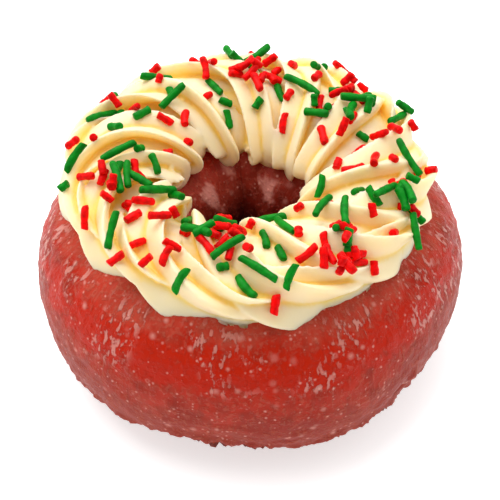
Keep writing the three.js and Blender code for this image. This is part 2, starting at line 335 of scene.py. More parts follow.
class IcingSettings(bpy.types.PropertyGroup):
    """Sizes and colours of the piped ring."""

    loop_count: count_setting("Loops", "Loops of the piped coil", 11, 5, 24)
    coil_radius: length_setting(
        "Coil radius", "From the axis to the middle of the coil", 26.8 * mm, 10 * mm, 60 * mm)
    coil_reach: length_setting(
        "Coil reach", "How far a loop swings in and out", 10.8 * mm, 2 * mm, 20 * mm)
    coil_lean: angle_setting("Lean", "How far the loops lean round the ring", 24 * degree, 1)
    strand_half_width: length_setting(
        "Strand half width", "Half of the strand's width", 7.4 * mm, 1 * mm, 15 * mm)
    strand_half_thickness: length_setting(
        "Strand half thickness", "Half of the strand's thickness", 4.9 * mm, 1 * mm, 10 * mm)
    shift: bpy.props.FloatVectorProperty(
        name="Shift", description="How far the ring is piped off the dough's middle",
        default=(-0.3 * mm, 2 * mm, 0), subtype="TRANSLATION", unit="LENGTH")
    fineness: length_setting(
        "Fineness", "Size of the cells that join the loops into one body",
        0.36 * mm, 0.2 * mm, 2 * mm)
    cream_color: color_setting("Cream colour", "Pale cream of the icing", (0.98, 0.76, 0.48))
    # Painted shade: the yellow of the creases, also laid in soft random patches
    crease_shade_color: color_setting("Crease colour", "Warmer yellow in the creases", (1.0, 0.68, 0.13))


class SprinkleSettings(bpy.types.PropertyGroup):
    """Number and colours of the sprinkles."""

    scattered: count_setting(
        "Scattered", "Sprinkles spread evenly, beside those in drifts", 130, 0, 400)
    red_color: color_setting("Red", "Colour of the red sprinkles", (0.93, 0.001, 0.001))
    green_color: color_setting("Green", "Colour of the green sprinkles", (0.001, 0.24, 0.010))


class StageSettings(bpy.types.PropertyGroup):
    """View and light."""

    elevation: angle_setting(
        "Camera elevation", "Height of the camera above the horizon", 43.5 * degree, 1.57)
    distance: length_setting(
        "Camera distance", "From the camera to the point that it looks at", 340 * mm, 0.1, 5)
    lens: bpy.props.FloatProperty(
        name="Lens", description="Focal length in millimetres", default=107.8, min=10, max=300)
    aim_height: length_setting(
        "Aim height", "Height of the point that the camera looks at", 24 * mm, 0, 0.1)
    floor_color: color_setting("Floor", "Colour of the floor", (0.75, 0.75, 0.75))


def make_random(seed):
    """Small seeded generator, so that every run draws the same numbers."""
    state = [seed]

    def draw():
        state[0] = (state[0] * 48271) % 2147483647
        return state[0] / 2147483647

    return draw


def smoothstep(low, high, value):
    share = min(max((value - low) / (high - low), 0.0), 1.0)
    return share * share * (3 - 2 * share)


def as_mesh(bm, name):
    """Turns a bmesh into a mesh."""
    mesh = bpy.data.meshes.new(name)
    bm.to_mesh(mesh)
    bm.free()
    return mesh


def add_object(name, data):
    """Adds an object to the scene."""
    added = bpy.data.objects.new(name, data)
    bpy.context.scene.collection.objects.link(added)
    return added


def modified(mesh, name, *modifiers):
    """The mesh as it is after some modifiers, each given by its kind and its settings."""
    rough = add_object(name, mesh)
    for kind, settings in modifiers:
        modifier = rough.modifiers.new(kind, kind)
        for key, value in settings.items():
            setattr(modifier, key, value)
    graph = bpy.context.evaluated_depsgraph_get()
    changed = bpy.data.meshes.new_from_object(rough.evaluated_get(graph))
    bpy.data.objects.remove(rough)
    bpy.data.meshes.remove(mesh)
    return changed


def finish_mesh(bm, name, material):
    """Turns a bmesh into a smooth shaded object that rides on the doughnut."""
    mesh = as_mesh(bm, name)
    mesh.polygons.foreach_set("use_smooth", [True] * len(mesh.polygons))
    piece = add_object(name, mesh)
    mesh.materials.append(material)
    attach(piece, body)
    return piece


def store(mesh, name, values):
    """Keeps a value for each vertex, for the material to read."""
    attribute = mesh.attributes.new(name, "FLOAT", "POINT")
    attribute.data.foreach_set("value", np.asarray(values, np.float32))


# Dough

def dough_top(radius, dough):
    """Height of the smooth dough surface at a distance from the axis."""
    half_width = dough.outer_radius - dough.ring_radius
    half_height = (dough.height + flat_depth) / 2
    across = min(abs(radius - dough.ring_radius) / half_width, top_reach)
    rise = (1 - across ** squareness) ** (1 / squareness)
    return dough.height - half_height + half_height * rise


def dough_relief(angle, inward):
    """Uneven swelling outside and puckered lobes in the hole."""
    swell = sum(math.sin(count * angle + phase) for count, phase in swell_waves)
    lobe = abs(math.sin(hole_lobes * (angle - hole_crease_angle) / 2))
    outside = max(0.0, 1 - inward * 2) * swell_height * swell
    inside = inward ** 2 * hole_lobe_depth * (lobe - 0.5)
    return outside - inside


def skin_edge(angle):
    """Height at which the glazed skin ends above the rough base, uneven round the ring."""
    place = Vector((math.cos(angle), math.sin(angle), 0))
    swings = [swing * noise.noise(place * crowding) for swing, crowding in edge_swings]
    return edge_height + sum(swings)


def add_dough_ring(bm, dough):
    """A closed ring: its section is a circle pressed towards a rounded box."""
    half_width = dough.outer_radius - dough.ring_radius
    half_height = (dough.height + flat_depth) / 2
    bmesh.ops.create_circle(bm, segments=dough.section_steps, radius=1)

    def bend(value):
        return math.copysign(abs(value) ** (2 / squareness), value)

    for vert in bm.verts:
        out = dough.ring_radius + half_width * bend(vert.co.x)
        up = dough.height - half_height + half_height * bend(vert.co.y)
        vert.co = (out, 0, up)
    bmesh.ops.spin(bm, geom=bm.verts[:] + bm.edges[:], axis=(0, 0, 1), cent=(0, 0, 0),
                   angle=full_turn, steps=dough.round_steps, use_merge=True)
    bmesh.ops.recalc_face_normals(bm, faces=bm.faces)


def local_mark(angle, height, mark):
    """Strength of a local dent or patch at a point of the dough."""
    middle, level, wide, tall, strength = mark
    turn = (angle - middle + math.pi) % full_turn - math.pi
    return strength * math.exp(-(turn / wide) ** 2 - ((height - level) / tall) ** 2)


def survey(place, angle, section, inward, height):
    """What the relief and the finishes need to know of a point of the dough."""
    edge = skin_edge(angle)
    around = Vector((math.cos(angle), math.sin(angle), 0))
    streak_place = around * streaks_round
    streak_place.z = section * streaks_across + streak_sway * math.sin(3 * angle)
    return SimpleNamespace(
        place=place, angle=angle, inward=inward, height=height, around=around,
        outside=1 - smoothstep(*outside_fade, inward),
        inside=smoothstep(*inside_fade, inward),
        below=1 - smoothstep(edge + edge_fade[0], edge + edge_fade[1], height),
        lip=math.exp(-((height - edge - lip_lift) / lip_reach) ** 2),
        streaks=noise.fractal(streak_place, *streak_noise),
        rough=noise.fractal(place / torn_size, *torn_noise),
        sheet=noise.fractal(place / sheet_size + sheet_shift, *sheet_noise),
        flow=(*around.xy, (section + math.pi / 2) % full_turn),
    )


def fine_relief(at):
    """Lumps, puckers and grain all over, streaks and dents outside, the torn base, and a hole
    that is wider at some sides than at others."""
    if at.height <= 0:
        return 0
    place, rough, below = at.place, at.rough, at.below
    offset = lump_height * noise.noise(place / lump_size)
    offset += pucker_height * noise.noise(place / pucker_size)
    offset += grain_height * noise.fractal(place / grain_size, *grain_noise)
    hole_place = at.around * hole_crowding + Vector((*hole_origin, at.height / hole_size))
    offset += hole_height * noise.noise(hole_place) * smoothstep(*hole_fade, at.inward)
    outside = streak_height * at.streaks * (1 - below)
    outside += below * (torn_height * rough - torn_depth)
    outside += lip_height * at.lip * (lip_share + rough)
    outside -= sum(local_mark(at.angle, at.height, mark) for mark in dents)
    return offset + outside * at.outside


def finish_masks(at):
    """How strongly each finish of the dough, and each painted sheen, shade and highlight, shows at
    a point.
    """
    angle, height, rough, sheet = at.angle, at.height, at.rough, at.sheet
    flank = math.cos(angle) ** 2
    patch = smoothstep(*patch_fade, noise.noise(at.place / patch_size + patch_shift))
    shoulder = smoothstep(*shoulder_start, height) * (1 - smoothstep(*shoulder_end, height))
    # A band round the shoulder, fullest at the front, left free of painted sheen and darkening
    band = math.exp(-((height - sheen_gap_height) / sheen_gap_reach) ** 2)
    band *= sheen_gap_mean - sheen_gap_swing * math.sin(angle)
    band += sheen_gap_torn * rough + sheen_gap_patchy * sheet
    # Painted shade towards the bottom, reaching higher at the flanks
    highest_low_shade = low_shade_end + (flank_shade_end - low_shade_end) * flank
    low = 1 - smoothstep(low_shade_start, highest_low_shade, height + low_shade_swing * sheet)
    rim = at.outside * smoothstep(*rim_start, height + edge_swing * sheet)
    # Painted sheen, partly dried glaze: how much pale pink shows
    film_and_sheen_level = film_and_sheen_mean + film_and_sheen_sheets * sheet + film_and_sheen_streaks * at.streaks * at.outside
    # Painted highlights on the back walls of the hole
    hole_highlight = sum(local_mark(angle, height, mark) for mark in hole_highlights)
    return {
        # Painted sheen and dried glaze, stronger just under the icing's rim
        "film_and_sheen": min(max(film_and_sheen_level, 0), 1) + rim_sheen * rim,
        "flank": flank_least + (1 - flank_least) * flank,
        "crust": at.outside * at.below,
        "shoulder": at.outside * patch * shoulder,
        # Painted shade on the walls of the hole and low down
        "deep": max(smoothstep(*hole_wall_shade_fade, at.inward), low),
        # The band left free of painted sheen and darkening
        "sheen_gap": at.outside * smoothstep(*sheen_gap_fade, band),
        # Painted shade deep down in the hole
        "hole_shade": at.inside * (1 - smoothstep(*hole_shade_end, height + edge_swing * rough)),
        # Painted highlights on the back walls of the hole
        "hole_highlight": at.inside * smoothstep(*hole_highlight_fade, hole_highlight + hole_highlight_torn * rough),
    }


def shape_dough(bm, dough):
    """Moves the ring's vertices to the relief of the real dough; returns a survey of them."""
    half_width = dough.outer_radius - dough.ring_radius
    mid_height = dough.height - (dough.height + flat_depth) / 2
    surveys = []
    for vert in bm.verts:
        radius = math.hypot(vert.co.x, vert.co.y)
        angle = math.atan2(vert.co.y, vert.co.x)
        section = math.atan2(vert.co.z - mid_height, radius - dough.ring_radius)
        height = max(vert.co.z, 0)
        inward = max(0.0, (dough.ring_radius - radius) / half_width)
        moved = radius + dough_relief(angle, inward)
        vert.co = (moved * math.cos(angle), moved * math.sin(angle), height)
        surveys.append(survey(vert.co.copy(), angle, section, inward, height))
    bm.normal_update()
    for vert, at in zip(bm.verts, surveys):
        vert.co += vert.normal * fine_relief(at)
        vert.co.z = max(vert.co.z, 0)
    bmesh.ops.recalc_face_normals(bm, faces=bm.faces)
    return surveys


# Icing

def draw_loops(random, icing):
    """Uneven hand of the piping: each loop has its own values."""
    def vary(amount):
        return amount * (2 * random() - 1)

    loops = []
    for _ in range(icing.loop_count):
        loops.append({
            "jitter": full_turn / icing.loop_count * vary(0.1),
            "lean": icing.coil_lean * (1 + vary(0.12)),
            "reach": icing.coil_reach * (1 + vary(0.05)),
            "rise": vary(0.7 * mm),
            "size": 1 + vary(0.07),
            "phase": vary(0.5),
            "shift": vary(0.6 * mm),
        })
    return loops


def loop_value(loops, key, turn):
    """A loop's value, blended into the next loop's along the strand."""
    place = (turn / full_turn) % len(loops)
    index = int(place) % len(loops)
    blend = smoothstep(0, 1, place - int(place))
    following = loops[(index + 1) % len(loops)]
    return loops[index][key] * (1 - blend) + following[key] * blend


def coil_point(turn, loops, dough, icing):
    """Middle of the strand: it climbs over the top from the hole to the outer edge, swings
    along the edge and comes back underneath, a little further round."""
    swing = coil_delay + (coil_swing - coil_delay) * (1 - math.cos(turn)) / 2
    angle = turn / icing.loop_count - loop_value(loops, "lean", turn) * math.cos(turn - swing)
    angle += loop_value(loops, "jitter", turn)
    outside = max(0, -math.cos(turn))
    inside = max(0, math.cos(turn))
    reach = loop_value(loops, "reach", turn) * math.cos(turn)
    reach += front_pull * outside * max(0, -math.sin(angle)) * abs(2 * math.cos(angle))
    off_centre = hole_shift * math.cos(angle - hole_turn)
    reach += inside * (hole_squeeze * max(0, math.sin(angle)) ** 2 + off_centre)
    radius = icing.coil_radius + loop_value(loops, "shift", turn) - reach
    over = (1 + math.sin(turn)) / 2
    highest = top_pass_lift + loop_value(loops, "rise", turn) + back_lift * math.sin(angle)
    climb = (highest - low_pass_lift) * over
    drop = outer_drop * outside ** 2
    height = dough_top(radius, dough) + low_pass_lift + climb - drop
    return Vector((radius * math.cos(angle), radius * math.sin(angle), height))


def star_radius(angle, depth):
    """Ridged outline of the nozzle: a ridge rises slowly to its crest and drops back sharply."""
    sector = (angle / full_turn * ridge_count) % 1
    rise = min(sector / ridge_crest, (1 - sector) / (1 - ridge_crest))
    return 1 - depth + depth * rise ** ridge_sharpness


def strand_axes(local, centre, tangent):
    """Directions across the strand and out of it, rolling as it goes round the loop."""
    roll = math.pi - local + outer_roll * math.exp(-((local - math.pi) / outer_roll_reach) ** 2)
    outward = Vector((centre.x, centre.y, 0)).normalized() * math.cos(roll)
    outward.z = math.sin(roll)
    outward = (outward - tangent * outward.dot(tangent)).normalized()
    return outward.cross(tangent), outward


def add_loop(bm, number, loops, dough, icing):
    """One turn of the strand: a grid rolled into a ridged tube, open at its hidden ends."""
    sides = ridge_count * ridge_steps
    grid = bmesh.ops.create_grid(bm, x_segments=loop_steps, y_segments=sides, size=1)["verts"]
    nudge = 0.01
    sections = {}
    for vert in grid:
        key = round((vert.co.x + 1) / 2 * loop_steps)
        if key not in sections:
            local = -math.pi / 2 + full_turn * key / loop_steps
            turn = full_turn * number + local
            centre = coil_point(turn, loops, dough, icing)
            ahead = coil_point(turn + nudge, loops, dough, icing)
            behind = coil_point(turn - nudge, loops, dough, icing)
            side, outward = strand_axes(local, centre, (ahead - behind).normalized())
            place = math.hypot(centre.x, centre.y) / icing.coil_radius
            flank = "inside" if place < 1 else "outside"
            hidden = max(0.0, -math.sin(local - hidden_pass_delay)) ** hidden_pass_sharpness
            size = loop_value(loops, "size", turn) * (1 - hidden_pass_shrink * hidden)
            lag = strand_twist * math.sin(turn) + loop_value(loops, "phase", turn)
            wide = icing.strand_half_width * place ** widening[flank] * size
            thick = icing.strand_half_thickness * place ** thickening[flank] * size
            depth = ridge_depth * (1 - outer_softening * max(0.0, -math.cos(local)))
            sections[key] = (centre, side, outward, lag, wide, thick, depth)
        centre, side, outward, lag, wide, thick, depth = sections[key]
        around = full_turn * (vert.co.y + 1) / 2
        ridged = star_radius(around, depth)
        across = wide * ridged * math.cos(around - lag)
        up = thick * ridged * math.sin(around - lag)
        lay = across * math.cos(strand_tilt) - up * math.sin(strand_tilt)
        stand = across * math.sin(strand_tilt) + up * math.cos(strand_tilt)
        vert.co = centre + side * lay + outward * stand + Vector(icing.shift)


def add_core(bm, dough, icing):
    """A plain ring inside the coil, which fills what the loops leave open."""
    start = len(bm.verts)
    matrix = Matrix.Translation((icing.coil_radius, 0, dough_top(icing.coil_radius, dough)))
    matrix = matrix @ Matrix.Rotation(math.pi / 2, 4, "X")
    circle = bmesh.ops.create_circle(
        bm, segments=core_sides, radius=core_radius, matrix=matrix)["verts"]
    edges = list({edge for vert in circle for edge in vert.link_edges})
    bmesh.ops.spin(bm, geom=circle + edges, axis=(0, 0, 1), cent=(0, 0, 0),
                   angle=full_turn, steps=core_steps, use_merge=True)
    bm.verts.ensure_lookup_table()
    bmesh.ops.translate(bm, verts=bm.verts[start:], vec=icing.shift)


def join_loops(bm, name, icing):
    """Joins the overlapping loops into one closed body and takes the steps off it."""
    return modified(as_mesh(bm, name), name,
                    ("REMESH", {"mode": "VOXEL", "voxel_size": icing.fineness}),
                    ("SMOOTH", {"factor": smoothing, "iterations": smoothing_passes}))


def rest_icing(mesh, dough):
    """Presses the underside of the icing onto the dough."""
    widest = bed_reach * (dough.outer_radius - dough.ring_radius)
    for vert in mesh.vertices:
        radius = math.hypot(vert.co.x, vert.co.y)
        lowest = dough_top(radius, dough) - bed_depth
        if vert.co.z < lowest and abs(radius - dough.ring_radius) < widest:
            vert.co.z = lowest


def thin_out(mesh, name):
    """Brings a mesh under a number of triangles, with the most of them where it bends."""
    triangles = sum(len(face.vertices) - 2 for face in mesh.polygons)
    if triangles <= most_triangles:
        return mesh
    return modified(mesh, name, ("DECIMATE", {"ratio": most_triangles / triangles}))


def hollow_share(bm):
    """How hollow the surface is at each vertex, from how far smoothing lifts it."""
    before = [vert.co.copy() for vert in bm.verts]
    normals = [vert.normal.copy() for vert in bm.verts]
    for _ in range(hollow_passes):
        bmesh.ops.smooth_vert(bm, verts=bm.verts, factor=smoothing,
                              use_axis_x=True, use_axis_y=True, use_axis_z=True)
    lift = [(vert.co - old).dot(normal) for vert, old, normal in zip(bm.verts, before, normals)]
    for vert, old in zip(bm.verts, before):
        vert.co = old
    return [min(max(value / hollow_depth, -1), 1) for value in lift]


# Sprinkles

def scatter_places(random, count):
    """Even scatter by a golden angle spiral, then the drifts, each with its own jitter."""
    golden_angle = math.pi * (3 - math.sqrt(5))
    inner, outer = (radius ** 2 for radius in scatter_radii)
    places = []
    for i in range(count):
        radius = math.sqrt(inner + (outer - inner) * (i + random()) / count)
        angle = golden_angle * i + scatter_jitter * random()
        places.append((radius * math.cos(angle), radius * math.sin(angle), random() < 0.5))
    for angle, radius, spread, number, green in drifts:
        for _ in range(number):
            away = spread * math.sqrt(random())
            toward = full_turn * random()
            x = radius * math.cos(angle) + away * math.cos(toward)
            y = radius * math.sin(angle) + away * math.sin(toward)
            places.append((x, y, random() < green))
    return places


def gap_between(one, other):
    """Least distance between two short segments, near enough."""
    gap = math.inf
    start, run = other[0], other[1] - other[0]
    for i in range(gap_steps + 1):
        point = one[0].lerp(one[1], i / gap_steps)
        share = min(max((point - start).dot(run) / run.length_squared, 0), 1)
        gap = min(gap, (point - start - run * share).length)
    return gap


def lay_down(place, random, surface, lying, icing):
    """A sprinkle comes to rest along the icing: its ends follow the slope, its middle rides
    on the highest ridge beneath it and on the sprinkles that already lie there."""
    x, y, green = place
    shortest, longest = green_length if green else red_length
    length = shortest + (longest - shortest) * random() ** short_bias
    heading = full_turn * random()
    along = Vector((math.cos(heading), math.sin(heading), 0))
    centre = Vector((x, y, 0)) + Vector(icing.shift)
    heights = []
    for share in sprinkle_samples:
        above = centre + along * share * length
        above.z = drop_height
        hit = surface.ray_cast(above, Vector((0, 0, -1)))[0]
        heights.append(hit.z if hit else None)
    if heights[2] is None:
        return None
    fallen = heights[2] - length / 2
    first, last = (fallen if high is None else high for high in (heights[0], heights[-1]))
    slope = (last - first) / (sampled_span * length)
    slope = min(max(slope, -steepest_slope), steepest_slope)
    along.z = slope
    along.normalize()
    rest = [high - share * length * slope
            for share, high in zip(sprinkle_samples, heights) if high]
    centre.z = max(rest) + sprinkle_radius * math.hypot(1, slope) - sprinkle_sink
    half = along * (length / 2)
    segment = (centre - half, centre + half)
    touching = [other for other in lying
                if gap_between(segment, other["segment"]) < touch_distance]
    if len(touching) > most_touching:
        return None
    if touching:
        for point in (centre, *segment):
            point.z += stack_lift
    return {"centre": centre, "along": along, "length": length, "segment": segment, "green": green}


def sprinkle_template():
    """A short rod with softened flat ends, to be bent and placed."""
    bm = bmesh.new()
    bmesh.ops.create_cone(bm, cap_ends=True, segments=rod_sides, radius1=1, radius2=1, depth=1)
    long_edges = [edge for edge in bm.edges if abs(edge.verts[0].co.z - edge.verts[1].co.z) > 0.5]
    bmesh.ops.subdivide_edges(bm, edges=long_edges, cuts=rod_cuts, use_grid_fill=True)
    rims = [edge for edge in bm.edges if all(abs(vert.co.z) > 0.49 for vert in edge.verts)]
    bmesh.ops.bevel(bm, geom=rims, offset=rod_rim, segments=2, profile=0.5, material=-1,
                    affect="EDGES")
    return as_mesh(bm, "sprinkle_template")


def add_sprinkle(bm, template, laid, random):
    """Places one rod: slightly bent, uneven in thickness and with its ends cut askew."""
    start = len(bm.verts)
    bm.from_mesh(template)
    bm.verts.ensure_lookup_table()
    along, length = laid["along"], laid["length"]
    side = along.cross(Vector((0, 0, 1))).normalized()
    up = side.cross(along)
    bend = length * (sprinkle_bend * (random() - 0.5)) if length > shortest_bent else 0
    cut = sprinkle_cut * (random() - 0.5)
    waist = full_turn * random()
    thickness = sprinkle_radius * (thinnest + thickness_range * random())
    for vert in bm.verts[start:]:
        share = vert.co.z
        swell = sum((high * math.sin(turns * waist + crowding * share)
                     for high, turns, crowding in thickness_waves), 1)
        end = max(0.0, abs(share) - end_start) / end_length
        round_off = 1 - end_rounding * end * end
        ring = thickness * swell * round_off
        run = share * length + cut * vert.co.x * thickness * (2 * share)
        place = laid["centre"] + along * run
        place += side * (vert.co.x * ring + bend * (0.25 - share * share) * 4)
        place += up * vert.co.y * ring
        vert.co = place


# Materials

class Nodes:
    """Short hand for building the nodes of a tree."""

    def __init__(self, tree):
        self.tree = tree

    def node(self, kind, **settings):
        made = self.tree.nodes.new(kind)
        for key, value in settings.items():
            setattr(made, key, value)
        return made

    def feed(self, source, target):
        """Links an output to an input, or sets the input where the source is a value."""
        if isinstance(source, bpy.types.NodeSocket):
            self.tree.links.new(source, target)
        else:
            target.default_value = source

    def math(self, operation, first, second=0.0, clamp=False):
        made = self.node("ShaderNodeMath", operation=operation, use_clamp=clamp)
        self.feed(first, made.inputs[0])
        self.feed(second, made.inputs[1])
        return made.outputs[0]

    def times(self, first, second, clamp=False):
        return self.math("MULTIPLY", first, second, clamp)

    def plus(self, first, second, clamp=False):
        return self.math("ADD", first, second, clamp)

    def change(self, value, low, high, start, end):
        """Goes softly from start to end while the value goes from low to high."""
        made = self.node("ShaderNodeMapRange", interpolation_type="SMOOTHSTEP")
        given = {"Value": value, "From Min": low, "From Max": high, "To Min": start, "To Max": end}
        for socket, source in given.items():
            self.feed(source, made.inputs[socket])
        return made.outputs["Result"]


class Shader(Nodes):
    """Short hand for building a material's nodes."""

    def __init__(self, name):
        self.material = bpy.data.materials.new(name)
        self.material.use_nodes = True
        super().__init__(self.material.node_tree)
        self.principled = self.tree.nodes["Principled BSDF"]

    def set(self, **values):
        for key, value in values.items():
            self.principled.inputs[key.replace("_", " ")].default_value = value

    def mix(self, share, first, second):
        made = self.node("ShaderNodeMix", data_type="RGBA")
        self.feed(share, made.inputs["Factor"])
        self.feed(first, made.inputs["A"])
        self.feed(second, made.inputs["B"])
        return made.outputs["Result"]

    def attribute(self, name, output="Fac"):
        return self.node("ShaderNodeAttribute", attribute_name=name).outputs[output]

    def place(self):
        return self.node("ShaderNodeTexCoord").outputs["Object"]

    def stretch(self, vector, factors):
        made = self.node("ShaderNodeVectorMath", operation="MULTIPLY")
        self.feed(vector, made.inputs[0])
        made.inputs[1].default_value = factors
        return made.outputs[0]

    def effect(self, name, build, vector, pattern):
        """Places a shared effect, built the first time that a material asks for it."""
        group = bpy.data.node_groups.get(name) or build()
        made = self.node("ShaderNodeGroup", node_tree=group)
        self.feed(vector, made.inputs["Vector"])
        for socket, value in zip(made.inputs[1:], pattern):
            socket.default_value = value
        return made.outputs[0]

    def cloud(self, vector, pattern):
        return self.effect("Mottling", mottling_group, vector, pattern)

    def specks(self, vector, pattern):
        return self.effect("Specks", specks_group, vector, pattern)

    def bump(self, height, distance):
        made = self.node("ShaderNodeBump")
        made.inputs["Strength"].default_value = 1
        made.inputs["Distance"].default_value = distance
        self.feed(height, made.inputs["Height"])
        self.feed(made.outputs[0], self.principled.inputs["Normal"])

    def color(self, source):
        self.feed(source, self.principled.inputs["Base Color"])

    def roughness(self, source):
        self.feed(source, self.principled.inputs["Roughness"])


def opaque(color):
    return (*color, 1)


def effect_group(name, **defaults):
    """An empty node group that takes a vector and some values, and gives one mask."""
    tree = bpy.data.node_groups.new(name, "ShaderNodeTree")
    tree.interface.new_socket("Vector", in_out="INPUT", socket_type="NodeSocketVector")
    for socket, default in defaults.items():
        made = tree.interface.new_socket(socket, in_out="INPUT", socket_type="NodeSocketFloat")
        made.default_value = default
    tree.interface.new_socket("Mask", in_out="OUTPUT", socket_type="NodeSocketFloat")
    nodes = Nodes(tree)
    given = nodes.node("NodeGroupInput").outputs
    return nodes, given, nodes.node("NodeGroupOutput").inputs["Mask"]


def mottling_group():
    """Soft patches: a noise of a given size, stretched to a mask."""
    nodes, given, mask = effect_group("Mottling", Scale=300, Low=0.35, High=0.65)
    cloud = nodes.node("ShaderNodeTexNoise")
    cloud.inputs["Detail"].default_value = 4
    nodes.feed(given["Vector"], cloud.inputs["Vector"])
    nodes.feed(given["Scale"], cloud.inputs["Scale"])
    nodes.feed(nodes.change(cloud.outputs[0], given["Low"], given["High"], 0, 1), mask)
    return nodes.tree


def specks_group():
    """Small dots, one in some of the cells of a given size, each with its own radius."""
    nodes, given, mask = effect_group("Specks", Scale=400, Share=0.3, Radius=0.25)
    cells = nodes.node("ShaderNodeTexVoronoi")
    nodes.feed(given["Vector"], cells.inputs["Vector"])
    nodes.feed(given["Scale"], cells.inputs["Scale"])
    chance = nodes.node("ShaderNodeSeparateColor")
    nodes.feed(cells.outputs["Color"], chance.inputs[0])
    chosen = nodes.math("LESS_THAN", chance.outputs[0], given["Share"])
    radius = nodes.times(chance.outputs[1], given["Radius"])
    dot = nodes.change(cells.outputs["Distance"], 0, radius, 1, 0)
    nodes.feed(nodes.times(dot, chosen), mask)
    return nodes.tree


def dough_material(dough):
    """Red dough under a thin sugar glaze, dried to a pale pink coat in places, with painted sheen,
    shade and highlights.
    """
    shader = Shader("glazed_dough")
    place, flow = shader.place(), shader.attribute("flow", "Vector")
    fine = shader.cloud(place, fine_pattern)
    broad = shader.times(shader.cloud(place, broad_pattern), broad_share)
    blotches = shader.times(shader.cloud(place, blotch_pattern), blotch_share)
    runs = shader.cloud(shader.stretch(flow, run_crowding), run_pattern)
    # Browner red: random blotches and runs, and painted shade on the walls of the hole, the lower
    # dough and the flanks
    deep = shader.math("MAXIMUM", broad, shader.attribute("deep"))
    deep = shader.plus(deep, blotches, clamp=True)
    deep = shader.plus(deep, shader.times(runs, run_share), clamp=True)
    # Everywhere but the band that is left free of painted sheen and darkening
    bare = shader.math("SUBTRACT", 1, shader.times(shader.attribute("sheen_gap"), sheen_gap_share))
    deep = shader.times(deep, bare)
    color = shader.mix(deep, opaque(dough.crumb_color), opaque(dough.blotch_and_shade_color))
    # Painted shade deep down in the hole, where the pale glaze and dots also fade
    hole_shade = shader.attribute("hole_shade")
    light = shader.math("SUBTRACT", 1, hole_shade)
    color = shader.mix(hole_shade, color, opaque(dough.hole_shade_color))

    # Dried glaze and painted sheen: soft sheets and fine hairs of pale pink, partly dried sugar
    # and partly a painted reflection of the bright room, left out in the band at the front;
    # trickles on the shoulder
    sugar = opaque(dough.sugar_and_highlight_color)
    film_and_sheen = shader.times(shader.attribute("film_and_sheen"), film_and_sheen_share)
    film_and_sheen = shader.plus(film_and_sheen, shader.times(fine, fine_share), clamp=True)
    hairs = shader.cloud(shader.stretch(flow, hair_crowding), hair_pattern)
    hairs = shader.times(hairs, shader.attribute("flank"))
    film_and_sheen = shader.plus(film_and_sheen, shader.times(hairs, hair_share), clamp=True)
    film_and_sheen = shader.times(shader.times(film_and_sheen, bare), light)
    color = shader.mix(film_and_sheen, color, opaque(dough.film_and_sheen_color))
    # Painted highlights on the back walls of the hole, in pale pink
    color = shader.mix(shader.times(shader.attribute("hole_highlight"), hole_highlight_share), color, sugar)
    # Sugar trickles on the shoulder, partly painted glints where the light catches the glaze
    trickles = shader.cloud(shader.stretch(flow, trickle_crowding), trickle_pattern)
    trickles = shader.times(trickles, shader.attribute("shoulder"))
    color = shader.mix(shader.times(trickles, trickle_share), color, sugar)

    # Bubbles that dried to dots and small rings
    dots = shader.times(shader.specks(place, dot_pattern), large_dot_share)
    middles = shader.times(shader.specks(place, bubble_middle), ring_opening)
    rings = shader.math("SUBTRACT", shader.specks(place, bubble_pattern), middles, clamp=True)
    pale = shader.math("MAXIMUM", dots, shader.specks(place, small_dot_pattern))
    pale = shader.times(shader.math("MAXIMUM", pale, rings), light)
    color = shader.mix(shader.times(pale, dot_share), color, sugar)

    crust = shader.mix(fine, *[opaque(shade) for shade in crust_colors])
    shader.color(shader.mix(shader.attribute("crust"), color, crust))
    shader.roughness(shader.plus(shader.times(film_and_sheen, film_roughness), dough_roughness))
    height = shader.plus(fine, pale)
    height = shader.plus(height, shader.times(hairs, hair_relief))
    height = shader.plus(height, shader.times(trickles, trickle_relief))
    shader.bump(height, dough_bump)
    shader.feed(shader.times(trickles, dough_coat), shader.principled.inputs["Coat Weight"])
    shader.set(Specular_IOR_Level=dough_gloss, Coat_Roughness=coat_roughness,
               Subsurface_Weight=dough_softness, Subsurface_Radius=dough_scatter,
               Subsurface_Scale=dough_depth)
    return shader.material


def icing_material(icing):
    """Smooth satin cream, with painted shade: warmer, deeper yellow in its creases."""
    shader = Shader("cream_icing")
    place = shader.place()
    grain = shader.cloud(place, icing_grain)
    clouds = shader.times(shader.cloud(place, icing_clouds), cloud_share)
    # Painted shade: deeper yellow in the hollows of the creases
    hollow = shader.times(shader.attribute("hollow"), crease_shade_share, clamp=True)
    crease = opaque(icing.crease_shade_color)
    color = shader.mix(clouds, opaque(icing.cream_color), crease)
    shader.color(shader.mix(hollow, color, crease))
    shader.roughness(shader.plus(shader.times(grain, icing_dullness), icing_roughness))
    shader.bump(grain, icing_bump)
    shader.set(Subsurface_Weight=icing_softness, Subsurface_Radius=icing_scatter,
               Subsurface_Scale=icing_depth)
    return shader.material


def sprinkle_material(name, color, pale):
    """Pressed sugar: softly glossy, mottled and a little frosted."""
    shader = Shader(name)
    place = shader.place()
    cloud = shader.cloud(place, sprinkle_clouds)
    frost = shader.specks(place, frost_pattern)
    darker = opaque([sprinkle_shade * part for part in color])
    shade = shader.mix(cloud, opaque(color), darker)
    shader.color(shader.mix(shader.times(frost, frost_share), shade, opaque(pale)))
    shader.roughness(shader.plus(shader.times(cloud, sprinkle_dullness), sprinkle_roughness))
    shader.bump(shader.plus(cloud, frost), sprinkle_bump)
    shader.set(Specular_IOR_Level=sprinkle_gloss)
    return shader.material


# Operators

